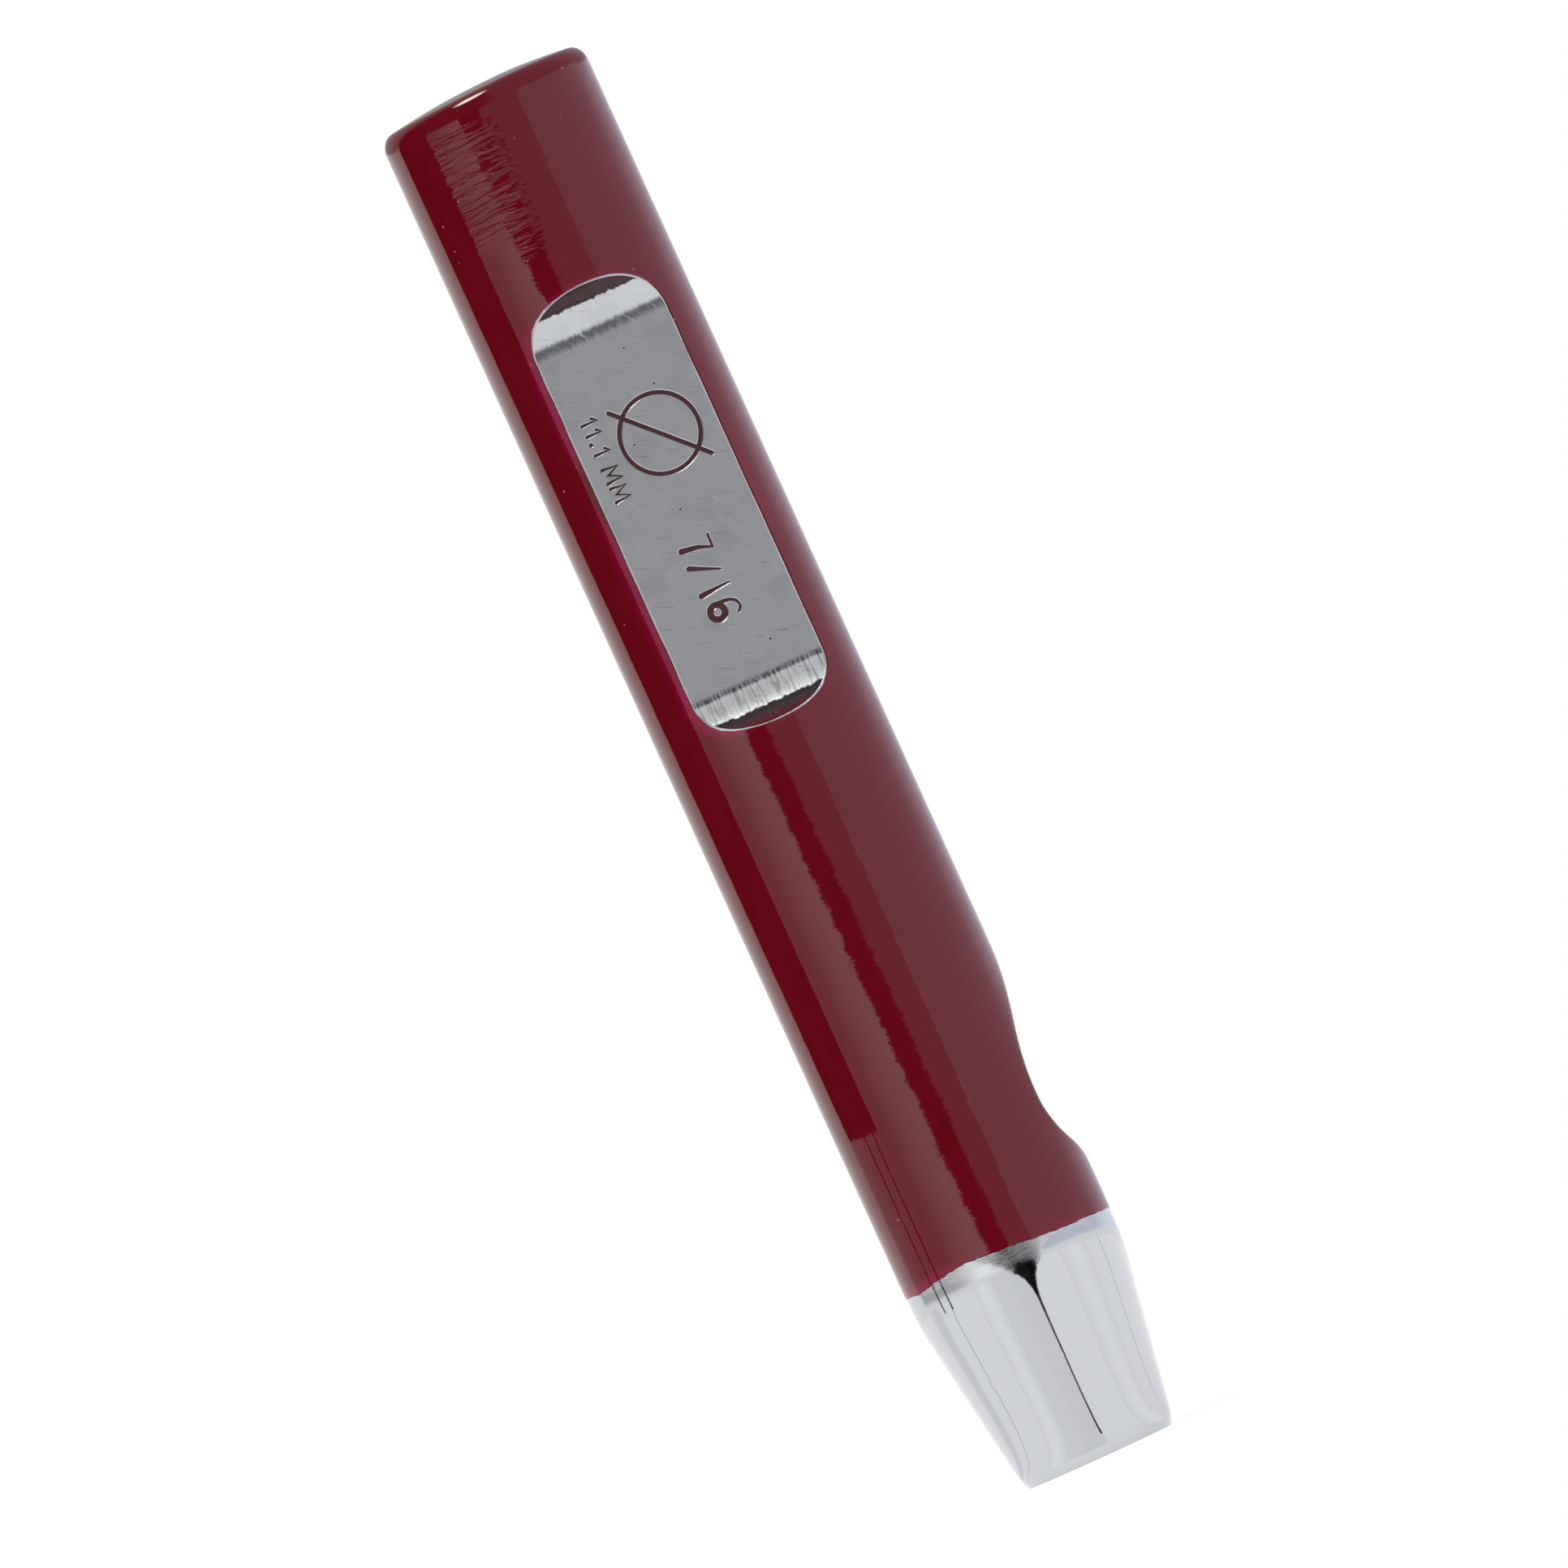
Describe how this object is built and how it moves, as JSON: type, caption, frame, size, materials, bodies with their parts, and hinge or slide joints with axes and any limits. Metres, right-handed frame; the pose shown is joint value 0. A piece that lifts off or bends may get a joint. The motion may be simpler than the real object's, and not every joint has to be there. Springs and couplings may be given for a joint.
{
  "type": "drive hole punch",
  "caption": "Round steel drive punch: hollow tapered cutting end, side window for the slugs, stamped flat, red lacquered shank with a domed struck head.",
  "frame": {"origin": "centre of the circular cutting edge, on the surface that the punch stands on", "axes": "+Z along the axis from the cutting edge to the struck head; -Y out of the stamped flat; the slug window faces between +X and +Y"},
  "size_m": [0.016, 0.016, 0.1075],
  "materials": {
    "tool_steel": "mirror polished on the cutting end, ground satin on the flat",
    "red_lacquer": "clear deep red lacquer, baked, high gloss",
    "stamp_lacquer": "dull dark red lacquer left in the stamped marks"
  },
  "bodies": {
    "root": {"steel_body": "tool_steel", "lacquer_coat": "red_lacquer", "size_seven_fill": "stamp_lacquer", "size_slash_fill": "stamp_lacquer", "size_one_fill": "stamp_lacquer", "size_six_fill": "stamp_lacquer", "diameter_sign_fill": "stamp_lacquer", "label_first_one_fill": "stamp_lacquer", "label_second_one_fill": "stamp_lacquer", "label_point_fill": "stamp_lacquer", "label_third_one_fill": "stamp_lacquer", "label_first_m_fill": "stamp_lacquer", "label_second_m_fill": "stamp_lacquer"}
  },
  "joints": []
}
